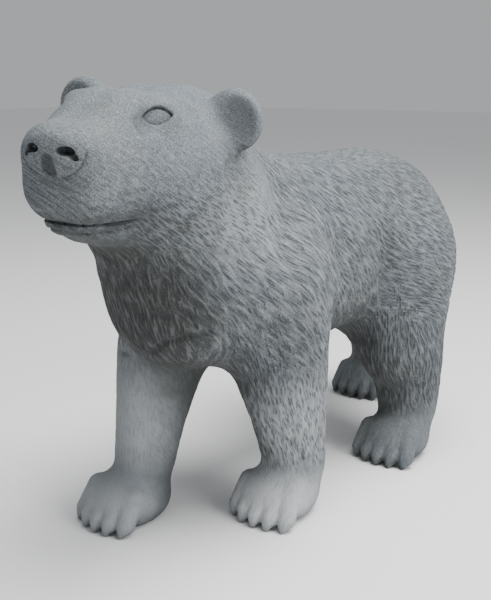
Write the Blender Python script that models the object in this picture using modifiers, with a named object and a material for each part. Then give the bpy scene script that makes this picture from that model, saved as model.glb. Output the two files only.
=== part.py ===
"""A walking polar bear carved from one block of granite, as one solid.

The bear is laid out as a set of plain masses (balls and tapered limbs) in metres, +Z up, with its
head towards -Y and its left side towards +X. The masses are remeshed into one skin, and the skin is
then settled onto the surface where the masses run smoothly into each other.
"""

import bmesh
import bpy
import numpy as np
from mathutils import Matrix, Vector

# Size and fineness
FIRST_VOXEL = 0.007
FINE_VOXEL = 0.0032
TRIANGLES = 9600

# Settling of the skin: rounds and the longest step of each pass, how much the skin is evened sideways,
# the least slope that a step is reckoned with, and the reach of the slope's four test points
FIRST_SETTLING = (7, 0.010)
FINE_SETTLING = (5, 0.003)
EVENING = 0.35
LEAST_SLOPE = 0.2
SLOPE_REACH = 0.0006

# Plain stone, as the solid carries it
STONE = (0.27, 0.30, 0.32, 1.0)
STONE_ROUGHNESS = 0.85

# Width of the fillet where one mass runs into another, and of the rounding along a cut
BLEND_BODY = 0.08
BLEND_SHOULDER = 0.03
BLEND_NECK = 0.06
BLEND_THROAT = 0.04
BLEND_TAIL = 0.03
BLEND_LEG = 0.06
BLEND_ALONG_LEG = 0.008
BLEND_PAW = 0.025
BLEND_INSTEP = 0.020
BLEND_TOES = 0.007
TOE_GAP = 0.003
BLEND_HEAD = 0.045
BLEND_CHEEK = 0.04
BLEND_SKULL = 0.03
BLEND_LIP = 0.02
BLEND_NOSE = 0.006
BLEND_LIDS = 0.022
BLEND_EAR = 0.010
BLEND_EAR_ROOT = 0.015
FACE_EDGE = 0.036
NOSE_EDGE = 0.010
SOCKET_EDGE = 0.016
EAR_EDGE = 0.007
HOLLOW_EDGE = 0.008
FINE_EDGE = 0.003
LID_EDGE = 0.0012

# Trunk: centre and radii of each ball
RIBS = ((0.0, -0.10, 0.450), (0.148, 0.250, 0.166))
BELLY = ((0.0, 0.07, 0.455), (0.146, 0.240, 0.164))
RUMP = ((0.0, 0.225, 0.440), (0.158, 0.198, 0.174))
SHOULDER = ((0.086, -0.205, 0.455), (0.062, 0.078, 0.120))
WITHERS = ((0.0, -0.19, 0.500), (0.112, 0.150, 0.122))
CHEST = ((0.0, -0.334, 0.450), (0.126, 0.132, 0.138))

# Neck, tail and throat: start, end, radius at the start, radius at the end
NECK = ((0.0, -0.25, 0.50), (0.008, -0.380, 0.614), 0.139, 0.125)
TAIL = ((0.0, 0.365, 0.510), (0.0, 0.408, 0.438), 0.032, 0.019)
THROAT = ((0.0, -0.440, 0.560), (0.0, -0.355, 0.42), 0.088, 0.118)

# Shallow hollows behind the cheek, on the neck and shoulder and before the hip: start, end and radii
HOLLOWS = (
    ((0.1600, -0.391, 0.636), (0.158, -0.385, 0.551), 0.030, 0.030),
    ((0.187, -0.251, 0.621), (0.233, -0.325, 0.490), 0.070, 0.070),
    ((0.235, -0.122, 0.527), (0.240, -0.105, 0.400), 0.090, 0.090),
    ((0.190, 0.036, 0.487), (0.176, 0.056, 0.345), 0.040, 0.036),
)

# Legs: centre and radius at four heights, then the middle of the sole and its turn in degrees
FRONT_LEFT = (
    ((0.088, -0.240, 0.430, 0.104), (0.104, -0.223, 0.290, 0.080),
     (0.103, -0.196, 0.190, 0.064), (0.102, -0.172, 0.085, 0.052)),
    (0.087, -0.202), 0.0,
)
FRONT_RIGHT = (
    ((-0.086, -0.255, 0.430, 0.104), (-0.105, -0.291, 0.290, 0.079),
     (-0.103, -0.325, 0.190, 0.061), (-0.106, -0.347, 0.085, 0.050)),
    (-0.114, -0.384), -3.0,
)
HIND_LEFT = (
    ((0.080, 0.215, 0.400, 0.120), (0.113, 0.171, 0.260, 0.092),
     (0.122, 0.199, 0.185, 0.071), (0.123, 0.213, 0.088, 0.058)),
    (0.124, 0.159), 0.0,
)
HIND_RIGHT = (
    ((-0.080, 0.250, 0.400, 0.118), (-0.108, 0.372, 0.265, 0.081),
     (-0.121, 0.466, 0.185, 0.060), (-0.127, 0.511, 0.085, 0.053)),
    (-0.127, 0.472), 0.0,
)
LEGS = (FRONT_LEFT, FRONT_RIGHT, HIND_LEFT, HIND_RIGHT)
LEG_STEPS = 6
LEG_ROOM = (0.05, 0.21, 0.20)
PAW_ROOM = (0.04, 0.02, 0.15)

# Paws, measured from the middle of the sole
TOES = 5
KNUCKLE_BACK = -0.024
KNUCKLE_HEIGHT = 0.059
TIP_HEIGHT = 0.021
CLAW_FORWARD = (0.008, 0.011)
CLAW_HEIGHTS = (0.0140, 0.0078)
PAD = ((0.0, 0.012, 0.034), (0.062, 0.077, 0.048))
INSTEP = ((0.0, -0.014, 0.046), (0.064, 0.044, 0.042))
KNUCKLE_HALF = 0.046
TIP_HALF = 0.053
TIP_FORWARD = 0.064
TIP_CURVE = 0.014
TOE_RADII = (0.0190, 0.0165)
CLAW_RADII = (0.0100, 0.0068)

# Head, in its own axes: x to its left, y back, z up
HEAD_AT = (0.003, -0.405, 0.690)
HEAD_YAW = 14.3
HEAD_PITCH = -2.0
HEAD_ROLL = 4.0
ROOM_MARGIN = 0.09
HEAD_ROOM = ((0.0, -0.37, 0.66), (0.06, -0.60, 0.66), 0.25, 0.19)
MIDLINE_EASE = 0.010
SKULL = ((0.034, -0.012, -0.033), (0.080, 0.120, 0.092))
FOREHEAD = ((0.022, -0.122, -0.001), (0.056, 0.084, 0.065))
CHEEK = ((0.056, -0.045, -0.078), (0.058, 0.115, 0.064))
MUZZLE = ((0.034, -0.110, -0.030), (0.018, -0.248, -0.019), 0.066, 0.044)
UPPER_LIP = ((0.040, -0.110, -0.056), (0.020, -0.240, -0.062), 0.060, 0.044)
JAW = ((0.036, -0.060, -0.100), (0.017, -0.224, -0.099), 0.056, 0.028)
CHIN = ((0.018, -0.070, -0.115), (0.012, -0.182, -0.110), 0.055, 0.034)
FACE_FRONT = -0.285
FACE_LEAN = 0.10
LEAN_FROM = 0.02
NOSE = ((0.0, -0.252, -0.010), (0.046, 0.040, 0.034))
NOSE_FRONT = -0.2855
MOUTH_HEIGHT = -0.1060
MOUTH_LIFT = 0.05
MOUTH_LIFT_FROM = -0.20
MOUTH_CORNER = -0.164
MOUTH_HALF_GAP = 0.0013
MOUTH_DEPTH = 0.009
NOSTRIL = ((0.0265, -0.279, -0.0050), (0.0105, 0.021, 0.0056))
NOSTRIL_WING = ((0.0330, -0.281, -0.0070), (0.0375, -0.272, -0.0140), 0.0050, 0.0034)
LIP_GROOVE = ((0.0, -0.2895, -0.017), (0.0, -0.2820, -0.036), 0.0100, 0.0110)
PAD_LINE = ((0.0492, -0.2672, -0.0060), (0.0478, -0.2690, -0.0140), (0.0430, -0.2710, -0.0240),
            (0.0330, -0.2730, -0.0330), (0.0190, -0.2736, -0.0400), (0.0, -0.2728, -0.0440))
PAD_LINE_RADIUS = 0.0017
LOWER_LIP = ((0.0, -0.246, -0.1090), (0.0225, -0.243, -0.1090), (0.035, -0.230, -0.1095),
             (0.0505, -0.190, -0.110), (0.0575, -0.171, -0.1085))
LIP_RADIUS = 0.0052
LIP_CREASE = ((0.0, -0.2485, -0.1160), (0.0237, -0.2458, -0.1160), (0.0374, -0.2317, -0.1165),
              (0.0535, -0.1907, -0.1165), (0.0605, -0.1700, -0.1120))
CREASE_RADIUS = 0.0022
EYE_AT = (0.0745, -0.137, 0.032)
EYE_OUT = (0.80, -0.56, 0.20)
EYE_UP = (0.0, -0.1, 1.0)
SOCKET = ((0.076, -0.158, 0.029), (0.017, 0.024, 0.017))
LIDS = ((0.004, -0.0135, 0.001), (0.0340, 0.0160, 0.0225))
EYEBALL = ((0.001, -0.0135, -0.002), (0.0340, 0.0148, 0.0220))
LID_ARC = 0.0290
LID_OFFSET = 0.0170
LID_SLIT_HALF = 0.0013
LID_SLIT_DEPTH = 0.0060
EAR = ((0.127, -0.003, 0.021), (0.045, 0.021, 0.046))
EAR_BOWL = ((0.1395, -0.0275, 0.019), (0.0370, 0.0215, 0.041))
EAR_ROOT = ((0.082, 0.002, 0.006), (0.110, 0.007, 0.016), 0.040, 0.031)


def length(v):
    return np.sqrt((v * v).sum(-1))


def ball(p, mass):
    """Distance from points p to an ellipsoid, near enough close to its surface."""
    centre, radii = np.array(mass)
    q = p - centre
    near = length(q / radii)
    return near * (near - 1.0) / np.maximum(length(q / (radii * radii)), 1e-9)


def limb(p, mass):
    """Distance from points p to a round cone: two spheres and the skin stretched over them."""
    start, end, r0, r1 = mass
    start = np.array(start)
    axis = np.array(end) - start
    squared = axis @ axis
    drop = r0 - r1
    slope = squared - drop * drop
    to_p = p - start
    along = to_p @ axis
    beyond = along - squared
    side = to_p * squared - along[..., None] * axis
    side = (side * side).sum(-1)
    turn = np.sign(drop) * drop * drop * side
    along2 = along * along * squared
    beyond2 = beyond * beyond * squared
    d = (np.sqrt(side * slope / squared) + along * drop) / squared - r0
    d = np.where(np.sign(beyond) * slope * beyond2 > turn, np.sqrt(side + beyond2) / squared - r1, d)
    return np.where(np.sign(along) * slope * along2 < turn, np.sqrt(side + along2) / squared - r0, d)


def track(p, points, radius):
    """Distance to an even roll through the points."""
    d = limb(p, (points[0], points[1], radius, radius))
    for start, end in zip(points[1:], points[2:]):
        d = np.minimum(d, limb(p, (start, end, radius, radius)))
    return d


def join(a, b, k):
    """The two shapes together, with a fillet about as wide as k."""
    h = np.clip(0.5 + 0.5 * (b - a) / k, 0.0, 1.0)
    return b + (a - b) * h - k * h * (1.0 - h)


def cut(a, b, k):
    """Shape a with shape b taken out, the edge rounded over about k."""
    return -join(-a, b, k)


def turned(yaw=0.0, pitch=0.0, roll=0.0):
    """Columns are the left, back and up directions of something turned by these degrees."""
    cy, cp, cr = np.cos(np.radians((yaw, pitch, roll)))
    sy, sp, sr = np.sin(np.radians((yaw, pitch, roll)))
    z = np.array(((cy, -sy, 0), (sy, cy, 0), (0, 0, 1)))
    x = np.array(((1, 0, 0), (0, cp, sp), (0, -sp, cp)))
    y = np.array(((cr, 0, sr), (0, 1, 0), (-sr, 0, cr)))
    return z @ x @ y


HEAD_AXES = turned(HEAD_YAW, HEAD_PITCH, HEAD_ROLL)


def eye_axes():
    out = np.array(EYE_OUT) / np.linalg.norm(EYE_OUT)
    up = np.array(EYE_UP)
    up = up - out * (up @ out)
    up = up / np.linalg.norm(up)
    return np.stack([np.cross(up, out), out, up], 1)


EYE_AXES = eye_axes()


def along_leg(points):
    """A smooth curve of centres and radii through the four given ones."""
    points = np.array(points)
    ends = np.vstack([2 * points[0] - points[1], points, 2 * points[-1] - points[-2]])
    made = []
    for a, b, c, d in zip(ends, ends[1:], ends[2:], ends[3:]):
        for t in np.arange(LEG_STEPS) / LEG_STEPS:
            bend = 2 * a - 5 * b + 4 * c - d
            made.append(0.5 * (2 * b + (c - a) * t + bend * t * t + (3 * b - a - 3 * c + d) * t ** 3))
    made.append(points[-1])
    return made


def leg_limbs(leg):
    path = along_leg(leg[0])
    return [(a[:3], b[:3], a[3], b[3]) for a, b in zip(path, path[1:])]


def leg_room(leg):
    """A plain limb that holds the whole leg and the stone that it still shapes."""
    low, *radii = LEG_ROOM
    return leg[0][0][:3], (*leg[1], low), *radii


def close_to(p, room, shape):
    """The shape's distance where p is inside its room, and a safe distance elsewhere."""
    away = limb(p, room)
    d = np.maximum(away, 0.0) + ROOM_MARGIN
    close = away < 0.0
    if close.any():
        d[close] = shape(p[close])
    return d


def toe_limbs():
    """Each toe and its claw, in the paw's own axes with x outward."""
    made = []
    for t in np.linspace(-1.0, 1.0, TOES):
        tip = -TIP_FORWARD + TIP_CURVE * t * t
        side = TIP_HALF * t
        toe = ((KNUCKLE_HALF * t, KNUCKLE_BACK, KNUCKLE_HEIGHT), (side, tip, TIP_HEIGHT), *TOE_RADII)
        ends = [(side, tip - forward, height) for forward, height in zip(CLAW_FORWARD, CLAW_HEIGHTS)]
        claw = (*ends, *CLAW_RADII)
        made.append((toe, claw))
    return made


def paw(p, leg):
    outward = 1.0 if leg[1][0] > 0 else -1.0
    q = (p - np.array((*leg[1], 0.0))) @ turned(leg[2]) * (outward, 1.0, 1.0)
    d = join(ball(q, PAD), ball(q, INSTEP), BLEND_INSTEP)
    toes = None
    for toe, claw in toe_limbs():
        one = join(limb(q, toe), limb(q, claw), TOE_GAP)
        toes = one if toes is None else join(toes, one, TOE_GAP)
    return join(d, toes, BLEND_TOES)


def whole_leg(p, leg):
    limbs = leg_limbs(leg)
    d = limb(p, limbs[0])
    for each in limbs[1:]:
        d = join(d, limb(p, each), BLEND_ALONG_LEG)
    top, low, radius = PAW_ROOM
    room = ((*leg[1], top), (*leg[1], low), radius, radius)
    return join(d, close_to(p, room, lambda q: paw(q, leg)), BLEND_PAW)


def muzzle(s, m):
    d = join(ball(m, SKULL), ball(m, FOREHEAD), BLEND_SKULL)
    d = join(d, ball(m, CHEEK), BLEND_CHEEK)
    d = join(d, limb(m, MUZZLE), BLEND_SKULL)
    d = join(d, limb(m, UPPER_LIP), BLEND_LIP)
    front = s[..., 1] - FACE_FRONT - FACE_LEAN * (LEAN_FROM - s[..., 2])
    d = cut(d, front, FACE_EDGE)
    nose = cut(ball(s, NOSE), s[..., 1] - NOSE_FRONT, NOSE_EDGE)
    d = join(d, nose, BLEND_NOSE)
    jaw = join(limb(m, JAW), limb(m, CHIN), BLEND_LIP)
    jaw = join(jaw, track(m, LOWER_LIP, LIP_RADIUS), BLEND_NOSE)
    jaw = cut(jaw, track(m, LIP_CREASE, CREASE_RADIUS), FINE_EDGE)
    return join(d, jaw, BLEND_NOSE)


def face_cuts(d, s, m):
    """The mouth, nostrils, the groove in the upper lip and the line round the nose pad."""
    height = MOUTH_HEIGHT + MOUTH_LIFT * np.maximum(MOUTH_LIFT_FROM - s[..., 1], 0.0)
    gap = np.maximum(np.abs(s[..., 2] - height) - MOUTH_HALF_GAP, s[..., 1] - MOUTH_CORNER)
    d = cut(d, np.maximum(gap, -(d + MOUTH_DEPTH)), FINE_EDGE)
    d = cut(d, join(ball(m, NOSTRIL), limb(m, NOSTRIL_WING), FINE_EDGE), FINE_EDGE)
    d = cut(d, limb(s, LIP_GROOVE), FINE_EDGE)
    return cut(d, track(m, PAD_LINE, PAD_LINE_RADIUS), LID_EDGE)


def eyes(d, m):
    """Almond eyes with a nearly flush ball, and a dark slit under the upper lid."""
    d = cut(d, ball(m, SOCKET), SOCKET_EDGE)
    e = (m - np.array(EYE_AT)) @ EYE_AXES
    across = e[..., ::2]
    under_arc = length(across + (0.0, LID_OFFSET)) - LID_ARC
    over_arc = length(across - (0.0, LID_OFFSET)) - LID_ARC
    d = join(d, ball(e, LIDS), BLEND_LIDS)
    opening = np.maximum(np.maximum(under_arc, over_arc), -(e[..., 1] + LID_SLIT_DEPTH))
    d = np.minimum(cut(d, opening, LID_EDGE), ball(e, EYEBALL))
    slit = np.maximum(np.abs(under_arc + LID_SLIT_HALF) - LID_SLIT_HALF, over_arc)
    slit = np.maximum(slit, -(e[..., 1] + LID_SLIT_DEPTH))
    return cut(d, slit, LID_EDGE)


def in_head(p):
    """Points in the head's own axes, then the same with both halves folded onto the left one."""
    s = (p - np.array(HEAD_AT)) @ HEAD_AXES
    return s, np.stack([np.sqrt(s[..., 0] ** 2 + MIDLINE_EASE ** 2), s[..., 1], s[..., 2]], -1)


def head(p):
    s, m = in_head(p)
    return eyes(face_cuts(muzzle(s, m), s, m), m)


def ears(p):
    m = in_head(p)[1]
    return cut(join(ball(m, EAR), limb(m, EAR_ROOT), BLEND_EAR_ROOT), ball(m, EAR_BOWL), EAR_EDGE)


def bear(p):
    """Distance from points p to the whole bear: below zero inside the stone."""
    sides = np.stack([np.abs(p[..., 0]), p[..., 1], p[..., 2]], -1)
    d = ball(p, RIBS)
    for mass in (BELLY, RUMP, WITHERS, CHEST):
        d = join(d, ball(p, mass), BLEND_BODY)
    d = join(d, ball(sides, SHOULDER), BLEND_SHOULDER)
    d = join(d, limb(p, NECK), BLEND_NECK)
    d = join(d, limb(p, THROAT), BLEND_THROAT)
    d = join(d, limb(p, TAIL), BLEND_TAIL)
    for leg in LEGS:
        d = join(d, close_to(p, leg_room(leg), lambda q: whole_leg(q, leg)), BLEND_LEG)
    d = join(d, close_to(p, HEAD_ROOM, head), BLEND_HEAD)
    for hollow in HOLLOWS:
        d = cut(d, limb(sides, hollow), HOLLOW_EDGE)
    d = join(d, close_to(p, HEAD_ROOM, ears), BLEND_EAR)
    return np.maximum(d, -p[..., 2])


def placed(point, axes, at, outward=1.0):
    return np.array(at) + axes @ (np.array(point) * (outward, 1.0, 1.0))


def add_ball(mesh, mass, axes=np.eye(3), at=(0.0, 0.0, 0.0), outward=1.0):
    made = bmesh.ops.create_icosphere(mesh, subdivisions=4, radius=1.0)["verts"]
    centre, radii = np.array(mass)
    for vert in made:
        vert.co = Vector(placed(centre + radii * np.array(vert.co), axes, at, outward))


def add_limb(mesh, mass, axes=np.eye(3), at=(0.0, 0.0, 0.0), outward=1.0):
    start, end, r0, r1 = mass
    one = bmesh.new()
    for centre, radius in ((start, r0), (end, r1)):
        sphere = bmesh.ops.create_icosphere(one, subdivisions=3, radius=1.0)["verts"]
        for vert in sphere:
            vert.co = Vector(placed(np.array(centre) + radius * np.array(vert.co), axes, at, outward))
    bmesh.ops.delete(one, geom=one.edges, context="EDGES_FACES")
    hull = bmesh.ops.convex_hull(one, input=one.verts)
    inside = [item for item in hull["geom_interior"] if isinstance(item, bmesh.types.BMVert)]
    bmesh.ops.delete(one, geom=inside, context="VERTS")
    stretched = bpy.data.meshes.new("stretched")
    one.to_mesh(stretched)
    one.free()
    mesh.from_mesh(stretched)
    bpy.data.meshes.remove(stretched)


def rough_masses():
    """The masses as closed overlapping shapes in one mesh."""
    mesh = bmesh.new()
    for mass in (RIBS, BELLY, RUMP, WITHERS, CHEST, SHOULDER):
        add_ball(mesh, mass)
    add_ball(mesh, SHOULDER, outward=-1.0)
    for mass in (NECK, THROAT, TAIL):
        add_limb(mesh, mass)
    for leg in LEGS:
        outward = 1.0 if leg[1][0] > 0 else -1.0
        at = (*leg[1], 0.0)
        for mass in leg_limbs(leg):
            add_limb(mesh, mass)
        for mass in (PAD, INSTEP):
            add_ball(mesh, mass, turned(leg[2]), at, outward)
        for pair in toe_limbs():
            for mass in pair:
                add_limb(mesh, mass, turned(leg[2]), at, outward)
    for outward in (1.0, -1.0):
        for mass in (SKULL, FOREHEAD, CHEEK, EAR):
            add_ball(mesh, mass, HEAD_AXES, HEAD_AT, outward)
        for mass in (MUZZLE, UPPER_LIP, JAW, CHIN, EAR_ROOT):
            add_limb(mesh, mass, HEAD_AXES, HEAD_AT, outward)
    add_ball(mesh, NOSE, HEAD_AXES, HEAD_AT)
    bmesh.ops.recalc_face_normals(mesh, faces=mesh.faces)
    made = bpy.data.meshes.new("bear")
    mesh.to_mesh(made)
    mesh.free()
    return made


def with_modifier(mesh, kind, **settings):
    """The mesh as one of Blender's modifiers leaves it."""
    helper = bpy.data.objects.new("helper", mesh)
    bpy.context.scene.collection.objects.link(helper)
    modifier = helper.modifiers.new(kind.lower(), kind)
    for name, value in settings.items():
        setattr(modifier, name, value)
    graph = bpy.context.evaluated_depsgraph_get()
    made = bpy.data.meshes.new_from_object(helper.evaluated_get(graph), depsgraph=graph)
    bpy.data.objects.remove(helper, do_unlink=True)
    return made


def slope_at(p, step=SLOPE_REACH):
    """The distance at p and its slope, from four points around it."""
    corners = np.array(((1, -1, -1), (-1, -1, 1), (-1, 1, -1), (1, 1, 1)), float)
    values = [bear(p + step * corner) for corner in corners]
    slope = sum(value[..., None] * corner for value, corner in zip(values, corners)) / (4.0 * step)
    return sum(values) / 4.0, slope


def settle(mesh, rounds, most):
    """Moves the skin onto the bear's surface, easing it sideways between rounds to stay even."""
    points = np.empty(len(mesh.vertices) * 3)
    mesh.vertices.foreach_get("co", points)
    points = points.reshape(-1, 3)
    edges = np.empty(len(mesh.edges) * 2, int)
    mesh.edges.foreach_get("vertices", edges)
    edges = edges.reshape(-1, 2)
    degree = np.bincount(edges.ravel(), minlength=len(points))[:, None]
    for count in range(rounds):
        d, slope = slope_at(points)
        steep = np.maximum((slope * slope).sum(-1), LEAST_SLOPE)
        move = slope * (d / steep)[:, None]
        far = np.maximum(length(move) / most, 1.0)
        points = points - move / far[:, None]
        if count >= rounds - 2:
            continue
        total = np.zeros_like(points)
        np.add.at(total, edges[:, 0], points[edges[:, 1]])
        np.add.at(total, edges[:, 1], points[edges[:, 0]])
        points = points + EVENING * (total / degree - points)
    mesh.vertices.foreach_set("co", points.ravel())
    mesh.update()
    return mesh


def granite():
    material = bpy.data.materials.new("granite")
    material.use_nodes = True
    shader = material.node_tree.nodes["Principled BSDF"]
    shader.inputs["Base Color"].default_value = STONE
    shader.inputs["Roughness"].default_value = STONE_ROUGHNESS
    return material


for old in list(bpy.data.objects):
    bpy.data.objects.remove(old, do_unlink=True)

skin = with_modifier(rough_masses(), "REMESH", mode="VOXEL", voxel_size=FIRST_VOXEL)
skin = settle(skin, *FIRST_SETTLING)
skin = with_modifier(skin, "REMESH", mode="VOXEL", voxel_size=FINE_VOXEL)
skin = settle(skin, *FINE_SETTLING)
faces = sum(len(face.vertices) - 2 for face in skin.polygons)
skin = with_modifier(skin, "DECIMATE", ratio=TRIANGLES / faces)

low = np.min([vert.co for vert in skin.vertices], axis=0)
high = np.max([vert.co for vert in skin.vertices], axis=0)
middle = (low + high) / 2
skin.transform(Matrix.Translation((-middle[0], -middle[1], -low[2])))
skin.name = "bear"
skin.materials.clear()
skin.materials.append(granite())
bear_object = bpy.data.objects.new("bear", skin)
collection = bpy.data.collections.new("polar_bear")
bpy.context.scene.collection.children.link(collection)
collection.objects.link(bear_object)
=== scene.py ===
"""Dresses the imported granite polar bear: the same carved form at full relief, with its chiselled fur,
face, toes and stone, a pale floor, soft light and the camera.

The form repeats the part's named masses in the maker's frame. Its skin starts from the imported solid, so
it stands where that solid stands.
"""

import bmesh
import bpy
import numpy as np
from mathutils import Euler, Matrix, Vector
from mathutils.bvhtree import BVHTree
from mathutils.kdtree import KDTree


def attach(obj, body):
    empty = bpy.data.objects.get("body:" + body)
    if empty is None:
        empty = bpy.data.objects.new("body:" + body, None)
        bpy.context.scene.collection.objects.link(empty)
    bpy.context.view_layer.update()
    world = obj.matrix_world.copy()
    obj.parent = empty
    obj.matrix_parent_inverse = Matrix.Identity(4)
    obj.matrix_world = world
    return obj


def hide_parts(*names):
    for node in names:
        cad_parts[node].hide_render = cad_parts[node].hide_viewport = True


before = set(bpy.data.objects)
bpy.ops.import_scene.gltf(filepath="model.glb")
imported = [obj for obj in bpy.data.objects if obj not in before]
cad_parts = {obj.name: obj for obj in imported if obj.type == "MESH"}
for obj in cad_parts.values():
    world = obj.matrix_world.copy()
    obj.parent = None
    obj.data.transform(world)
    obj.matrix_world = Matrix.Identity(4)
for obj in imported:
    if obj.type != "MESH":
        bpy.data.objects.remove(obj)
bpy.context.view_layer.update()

# The maker's frame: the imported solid's origin stands here in it
ORIGIN_AT = (0.0042, -0.0599, 0.0)

# Fineness of the carving, the share of the sideways easing and of the step to the form in one round, and
# the rounds before and after the finer splitting, with how many of them are eased
VOXEL = 0.0023
TRIANGLES = 196000
EVENING = 0.4
HOLD = 0.95
FIRST_ROUNDS = (2, 1)
LAST_ROUNDS = (4, 2)

# The skin is split finer this far round the eyes, the muzzle's end and the lips
FINE_ROUND_EYES = 0.034
MUZZLE_END_HEIGHT = -0.015
FINE_ROUND_MUZZLE = 0.055
LIPS_BACK = 0.055
FINE_ROUND_LIPS = 0.075

# Where the head turns into the trunk and the trunk into the legs: no share and full share of the first
HEAD_BACK = (0.075, 0.020)
HEAD_LOW = (-0.200, -0.130)
LEG_FROM = (0.36, 0.24)

# How the coat is combed: round a far centre back and up from the bear, and along these on face and legs
COMB_CENTRE = (0.76, 1.24)
FACE_LIE = (0.0, 0.85, -0.52)
LEG_LIE = (0.0, 0.40, -0.92)

# Smoother parts of the coat: where each starts and is full, and how much of the strokes' depth it takes
PAW_RANGE = (0.125, 0.085)
PAW_SMOOTH = 0.75
SMOOTH_LEG_SIDE = (0.0, 0.03)
SMOOTH_LEG_FRONT = (0.10, 0.14)
SMOOTH_LEG_TOP = (0.36, 0.27)
LEG_SMOOTH = 0.70
UPWARD = (0.65, 0.92)
UPWARD_SMOOTH = 0.40
DOWNWARD = (0.55, 0.85)
DOWNWARD_SMOOTH = 0.50
NECK_SIDE_FRONT = (0.030, 0.050)
NECK_SIDE_BACK = (0.105, 0.075)
NECK_SIDE_LOW = (-0.14, -0.09)
NECK_SIDE_SMOOTH = 0.75

# Strokes on the face: the shares of the full depth at the brow, on the lip and on the jaw, and their edges
JAW_LOW = (-0.030, -0.095)
JAW_FRONT = (-0.205, -0.140)
LIP_LOW = (-0.045, -0.060)
LIP_SHARE = 0.60
BROW_SHARE = 0.15
CHEEK_SHARE = 0.35
CHEEK_LOW = (0.03, -0.05)

# Chisel strokes on the coat and on the face: half length, half width and depth; how far apart they start
COAT_STROKE = (0.0190, 0.0034, 0.0020)
FACE_STROKE = (0.0075, 0.0018, 0.0009)
STROKE_PITCH = 0.0155
FACE_PITCH = 0.0085
COAT_UP_TO = 0.6
FACE_FROM = 0.4
STROKE_WANDER = 0.16
STROKE_SCALES = (0.75, 1.25)
STROKE_TAPER = 0.45
LEAST_CUT = 0.00008
STROKE_SEED = 7
GRID_TURN = (31.0, 47.0, 19.0)
SOLE_RANGE = (0.0005, 0.004)

# Shallow dents in the coat: how far apart they start; half length, half width and depth
DENT_PITCH = 0.055
DENT = (0.034, 0.026, 0.0011)

# The fine line under the eyes: its depth and half width, its fade at the corners and how far in it goes
LID_LINE = 0.0007
LID_FADE = 0.0015
EYE_RANGE = (0.020, 0.015)

# Soft folds in the coat, under the chest and on the left foreleg; half width, depth and flat share
FOLDS = (
    ((-0.129, -0.369, 0.301), (-0.070, -0.400, 0.303), (0.023, -0.451, 0.350), (0.052, -0.453, 0.370),
     (0.087, -0.434, 0.383), (0.113, -0.395, 0.385), (0.120, -0.360, 0.365)),
    ((0.112, -0.270, 0.190), (0.135, -0.251, 0.167), (0.150, -0.227, 0.141), (0.151, -0.207, 0.101)),
)
FOLD = (0.0085, 0.0035)
FOLD_FLAT = 0.2

# Painted shade where the body hides the sky: rays cast to the sky, their start above the skin, points
# shared, and the shares of open sky that count as unshaded and as fully shaded
SKY_RAYS = 48
SKY_START = 0.004
SKY_SPREAD = 7
OPEN_SKY = 0.42
NO_SKY = 0.10

# Paler patches, and darker patches of painted shade, most under the head, chest and body: centre, radii
# and strength of each. Patches that show paler and patches that show darker, through wear and dirt or
# through the photo's own light: centre, radii and strength of each
PALE_PATCHES = (
    ((0.140, -0.240, 0.190), (0.070, 0.080, 0.090), 0.52),
    ((0.100, -0.250, 0.045), (0.090, 0.100, 0.055), 0.82),
    ((-0.085, -0.365, 0.190), (0.055, 0.070, 0.090), 0.52),
    ((-0.105, -0.440, 0.040), (0.090, 0.090, 0.055), 0.45),
    ((0.130, -0.345, 0.540), (0.060, 0.070, 0.070), 0.32),
    ((0.150, -0.230, 0.450), (0.050, 0.080, 0.090), 0.15),
    ((0.145, -0.397, 0.700), (0.020, 0.020, 0.025), 0.25),
)
SHADE_PATCHES = (
    ((0.020, -0.460, 0.410), (0.125, 0.110, 0.130), 0.95),
    ((0.020, -0.400, 0.320), (0.090, 0.110, 0.070), 0.95),
    ((0.020, -0.540, 0.515), (0.090, 0.100, 0.060), 1.00),
    ((0.010, -0.680, 0.590), (0.080, 0.060, 0.050), 0.35),
    ((0.165, 0.055, 0.400), (0.050, 0.035, 0.095), 0.50),
    ((0.165, -0.300, 0.350), (0.050, 0.070, 0.050), 0.35),
    ((0.180, 0.120, 0.310), (0.060, 0.090, 0.080), 0.35),
    ((0.130, 0.160, 0.190), (0.080, 0.090, 0.090), 0.65),
    ((0.130, 0.110, 0.050), (0.080, 0.090, 0.050), 0.20),
    ((0.020, 0.180, 0.600), (0.160, 0.300, 0.080), 0.13),
)
PATCH_FADE = 0.055
# Strength of the painted shade where the body hides the sky
HIDDEN_SKY_SHADE = 0.80

# Painted shade in the muzzle's own hollows: depths where it starts and is full, and how far back it reaches;
# then its strength in the line under the eyes and in the folds
SUNK = (0.0014, 0.0042)
SUNK_TO = -0.175
SUNK_FADE = 0.02
EYE_LINE_SHADE = 0.25
FOLD_SHADE = 0.55

# Edges between the ways that the strokes lie: facing front or back against sideways, and lying flat
FACING_RANGE = (-0.10, 0.10)
LYING_RANGE = (0.75, 0.90)
LIE_EDGE = (0.35, 0.65)

# Colours of the stone, and of the painted shade and painted highlight put on it
STONE = (0.124, 0.144, 0.162, 1.0)
GREEN_STONE = (0.136, 0.153, 0.157, 1.0)
PALE_GRAIN = (0.370, 0.392, 0.408, 1.0)
DARK_GRAIN = (0.045, 0.051, 0.056, 1.0)
SHADE_IN_HOLLOWS = (0.033, 0.036, 0.039, 1.0)
WORN_STONE = (0.205, 0.221, 0.230, 1.0)
RIDGE_HIGHLIGHT = (0.330, 0.346, 0.356, 1.0)
PALE_PATCH_STONE = (0.560, 0.580, 0.595, 1.0)
PAINTED_SHADE_COLOUR = (0.030, 0.030, 0.027, 1.0)

# Noise in the stone: scale, detail and roughness of the green clouds, the worn patches and the surface
CLOUDS = (7.0, 4.0, 0.6)
CLOUD_EDGE = (0.40, 0.62)
PATCHES = (23.0, 3.0, 0.6)
PATCH_EDGE = (0.50, 0.72)
PATCH_SHARE = 0.35
SURFACE = (520.0, 3.0, 0.7)
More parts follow.
